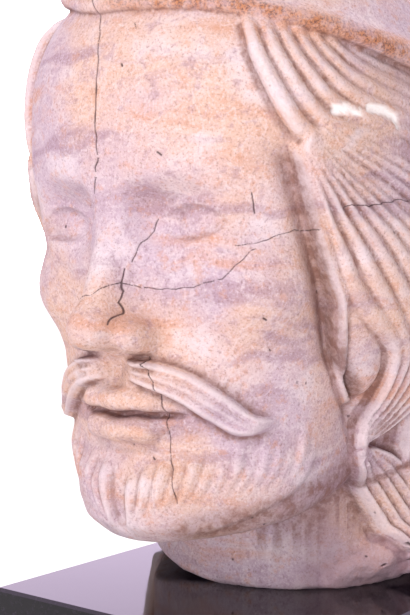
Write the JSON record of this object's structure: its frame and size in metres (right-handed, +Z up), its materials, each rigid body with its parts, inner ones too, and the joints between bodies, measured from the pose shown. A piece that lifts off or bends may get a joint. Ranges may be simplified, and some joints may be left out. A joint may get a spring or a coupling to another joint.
{
  "type": "carved marble head on a plinth",
  "caption": "Life-size carved stone head with short beard, waved hair and close cap, cut flat at the neck, on a polished black block.",
  "frame": {"origin": "middle of the plinth's underside", "axes": "+Z up, the face looks along -Y, +X is the sitter's left"},
  "size_m": [0.1771, 0.2275, 0.3349],
  "materials": {
    "carved_stone": "matte",
    "black_stone": "polished"
  },
  "bodies": {
    "root": {"head": "carved_stone", "plinth": "black_stone"}
  },
  "joints": []
}
